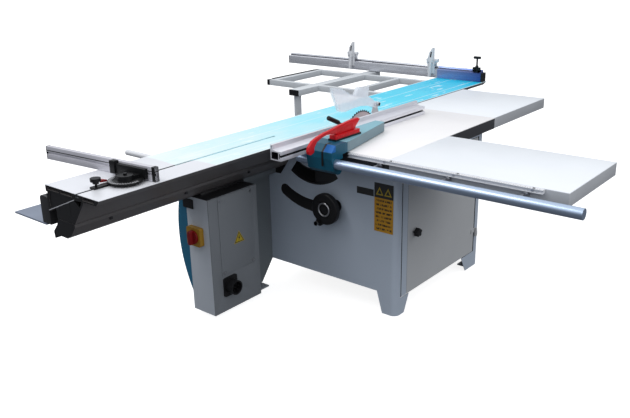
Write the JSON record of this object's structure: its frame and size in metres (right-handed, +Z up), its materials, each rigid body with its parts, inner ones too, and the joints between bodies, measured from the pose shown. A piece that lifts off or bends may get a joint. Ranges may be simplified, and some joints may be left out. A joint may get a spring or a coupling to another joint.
{
  "type": "sliding table panel saw",
  "caption": "Panel saw with a long sliding table, tilting blade unit in a steel cabinet, rip fence, crosscut fence and outrigger.",
  "frame": {"origin": "centre of the machine's footprint box, on the floor", "axes": "+Z up, +Y the feed direction away from the operator, +X towards the rip fence side"},
  "size_m": [3.286, 3.2, 1.091],
  "materials": {
    "cabinet_paint": "light grey powder coat",
    "table_top": "ground and coated table top",
    "dark_profile": "dark anodised extrusion",
    "bright_profile": "satin anodised extrusion",
    "bare_steel": "machined",
    "chromed": "ground and chromed",
    "black_plastic": "moulded",
    "black_paint": "satin",
    "casting_blue": "hammered enamel",
    "cover_blue": "enamel",
    "push_red": "moulded",
    "switch_yellow": "moulded",
    "switch_red": "moulded",
    "guard_clear": "clear polycarbonate",
    "cast_iron": "as cast",
    "motor_paint": "enamel",
    "belt_rubber": "moulded",
    "cast_aluminium": "black enamel on a die casting"
  },
  "bodies": {
    "frame": {"cabinet_front_panel": "cabinet_paint", "cabinet_left_side": "cabinet_paint", "cabinet_rear_panel": "cabinet_paint", "cabinet_right_frame": "cabinet_paint", "anchor_feet": "black_paint", "hinge_pins": "black_paint", "main_table": "table_top", "rear_extension_table": "table_top", "right_extension_table": "table_top", "guide_bar": "chromed", "guide_bar_studs": "bare_steel", "scale_rail": "bright_profile", "frame_screws": "bare_steel", "electrical_box": "cabinet_paint", "electrical_cover": "cabinet_paint", "switch_base": "switch_yellow", "plug_inlet": "black_plastic", "side_cover": "cover_blue", "base_beam": "dark_profile", "arm_bearing": "black_paint", "trunnion_saddles": "cast_iron"},
    "door": {"cabinet_door": "cabinet_paint"},
    "door_knob": {"door_knob": "black_plastic"},
    "switch_knob": {"switch_knob": "switch_red"},
    "roller_carriage": {"roller_carriage": "bare_steel"},
    "sliding_table": {"sliding_table": "bright_profile", "side_shelf": "bright_profile", "table_handle": "bright_profile", "outrigger_frame": "bright_profile", "outrigger_caps": "black_plastic"},
    "outrigger_roller": {"outrigger_roller": "black_plastic"},
    "crosscut_fence": {"crosscut_fence": "bright_profile", "crosscut_end_caps": "black_plastic"},
    "fence_clamp_knob": {"fence_clamp_knob": "black_plastic"},
    "flip_carrier_left": {"flip_carrier_left": "bright_profile"},
    "flip_arm_left": {"flip_arm_left": "bright_profile"},
    "flip_carrier_right": {"flip_carrier_right": "bright_profile"},
    "flip_arm_right": {"flip_arm_right": "bright_profile"},
    "mitre_base": {"mitre_base": "cast_aluminium"},
    "mitre_head": {"mitre_head": "cast_aluminium", "mitre_fence": "bright_profile"},
    "rip_casting": {"rip_casting": "casting_blue", "push_block": "push_red"},
    "rip_profile": {"rip_profile": "bright_profile"},
    "clamp_lever": {"clamp_lever": "black_plastic"},
    "push_stick": {"push_stick": "push_red"},
    "swing_arm": {"swing_arm": "cabinet_paint"},
    "support_post": {"support_post": "cabinet_paint"},
    "tilt_cradle": {"tilt_cradle": "cast_iron"},
    "saw_carriage": {"saw_carriage": "cast_iron", "motor": "motor_paint", "drive_belt": "belt_rubber", "riving_knife": "bare_steel"},
    "main_arbor": {"main_arbor": "bare_steel", "saw_blade": "bare_steel"},
    "motor_pulley": {"motor_pulley": "black_paint"},
    "scoring_blade": {"scoring_blade": "bare_steel"},
    "blade_guard": {"blade_guard": "guard_clear"},
    "height_wheel": {"height_wheel": "black_plastic"},
    "tilt_wheel": {"tilt_wheel": "black_plastic"}
  },
  "joints": [
    {"name": "door_hinge", "type": "hinge", "parent": "frame", "child": "door", "pos_m": [0.683, 0.489, 0.43], "axis": [0, 0, 1], "range_deg": [0, 110]},
    {"name": "door_knob_turn", "type": "hinge", "parent": "door", "child": "door_knob", "pos_m": [0.674, -0.159, 0.418], "axis": [1, 0, 0], "range_deg": [0, 90]},
    {"name": "switch_turn", "type": "hinge", "parent": "frame", "child": "switch_knob", "pos_m": [-0.12, -0.929, 0.446], "axis": [0, 1, 0], "range_deg": [0, 90]},
    {"name": "carriage_travel", "type": "slide", "parent": "frame", "child": "roller_carriage", "axis": [0, 1, 0], "range_m": [-0.7, 0.7]},
    {"name": "table_travel", "type": "slide", "parent": "frame", "child": "sliding_table", "axis": [0, 1, 0], "range_m": [-1.4, 1.4]},
    {"name": "end_roller_spin", "type": "hinge", "parent": "sliding_table", "child": "outrigger_roller", "pos_m": [-1.236, 1.141, 0.854], "axis": [0, 1, 0], "continuous": true},
    {"name": "fence_swivel", "type": "hinge", "parent": "sliding_table", "child": "crosscut_fence", "pos_m": [0.087, 1.556, 0.87], "axis": [0, 0, 1], "range_deg": [0, 45]},
    {"name": "fence_knob_turn", "type": "hinge", "parent": "crosscut_fence", "child": "fence_clamp_knob", "pos_m": [0.087, 1.556, 0.96], "axis": [0, 0, 1], "range_deg": [0, 180]},
    {"name": "left_stop_slide", "type": "slide", "parent": "crosscut_fence", "child": "flip_carrier_left", "axis": [1, 0, 0], "range_m": [-0.55, 0.35]},
    {"name": "right_stop_slide", "type": "slide", "parent": "crosscut_fence", "child": "flip_carrier_right", "axis": [1, 0, 0], "range_m": [-0.25, 0.2]},
    {"name": "left_stop_flip", "type": "hinge", "parent": "flip_carrier_left", "child": "flip_arm_left", "pos_m": [-0.985, 1.54, 0.9953], "axis": [-1, 0, 0], "range_deg": [0, 90]},
    {"name": "right_stop_flip", "type": "hinge", "parent": "flip_carrier_right", "child": "flip_arm_right", "pos_m": [-0.27, 1.54, 0.9953], "axis": [-1, 0, 0], "range_deg": [0, 90]},
    {"name": "mitre_slide", "type": "slide", "parent": "sliding_table", "child": "mitre_base", "axis": [0, 1, 0], "range_m": [-0.05, 0.9]},
    {"name": "mitre_swivel", "type": "hinge", "parent": "mitre_base", "child": "mitre_head", "pos_m": [0.033, -1.389, 0.88], "axis": [0, 0, 1], "range_deg": [-50, 50]},
    {"name": "rip_slide", "type": "slide", "parent": "frame", "child": "rip_casting", "axis": [1, 0, 0], "range_m": [-0.1, 0.95]},
    {"name": "profile_slide", "type": "slide", "parent": "rip_casting", "child": "rip_profile", "axis": [0, 1, 0], "range_m": [-0.25, 0.45]},
    {"name": "rip_lever", "type": "hinge", "parent": "rip_casting", "child": "clamp_lever", "pos_m": [0.375, -0.291, 0.935], "axis": [-1, 0, 0], "range_deg": [0, 60]},
    {"name": "push_stick_lift", "type": "slide", "parent": "rip_casting", "child": "push_stick", "axis": [0, 0, 1], "range_m": [0, 0.12]},
    {"name": "arm_swing", "type": "hinge", "parent": "frame", "child": "swing_arm", "pos_m": [-0.217, 0.401, 0.45], "axis": [0, 0, 1], "range_deg": [-35, 80]},
    {"name": "arm_extend", "type": "slide", "parent": "swing_arm", "child": "support_post", "axis": [-0.9058, 0.4236, 0], "range_m": [0, 0.3]},
    {"name": "saw_tilt", "type": "hinge", "parent": "frame", "child": "tilt_cradle", "pos_m": [0.149, 0.101, 0.87], "axis": [0, 1, 0], "range_deg": [0, 45]},
    {"name": "saw_height", "type": "slide", "parent": "tilt_cradle", "child": "saw_carriage", "axis": [0, 0, 1], "range_m": [-0.05, 0.005]},
    {"name": "arbor_spin", "type": "hinge", "parent": "saw_carriage", "child": "main_arbor", "pos_m": [0.149, 0.101, 0.78], "axis": [1, 0, 0], "continuous": true},
    {"name": "motor_spin", "type": "hinge", "parent": "saw_carriage", "child": "motor_pulley", "pos_m": [0.149, 0.101, 0.55], "axis": [1, 0, 0], "continuous": true},
    {"name": "scoring_spin", "type": "hinge", "parent": "saw_carriage", "child": "scoring_blade", "pos_m": [0.149, -0.137, 0.806], "axis": [1, 0, 0], "continuous": true},
    {"name": "guard_lift", "type": "hinge", "parent": "saw_carriage", "child": "blade_guard", "pos_m": [0.149, 0.243, 0.941], "axis": [-1, 0, 0], "range_deg": [0, 20]},
    {"name": "height_wheel_turn", "type": "hinge", "parent": "tilt_cradle", "child": "height_wheel", "pos_m": [0.274, -0.376, 0.516], "axis": [0, 1, 0], "range_deg": [-1805, 185]},
    {"name": "tilt_wheel_turn", "type": "hinge", "parent": "frame", "child": "tilt_wheel", "pos_m": [0.231, -0.376, 0.782], "axis": [0, 1, 0], "range_deg": [0, 1805]}
  ],
  "couplings": [
    {"joint": "carriage_travel", "follows": "table_travel", "ratio": 0.5},
    {"joint": "motor_spin", "follows": "arbor_spin", "ratio": 0.69565},
    {"joint": "height_wheel_turn", "follows": "saw_height", "rad_per_m": 628.32},
    {"joint": "tilt_wheel_turn", "follows": "saw_tilt", "ratio": 40}
  ]
}
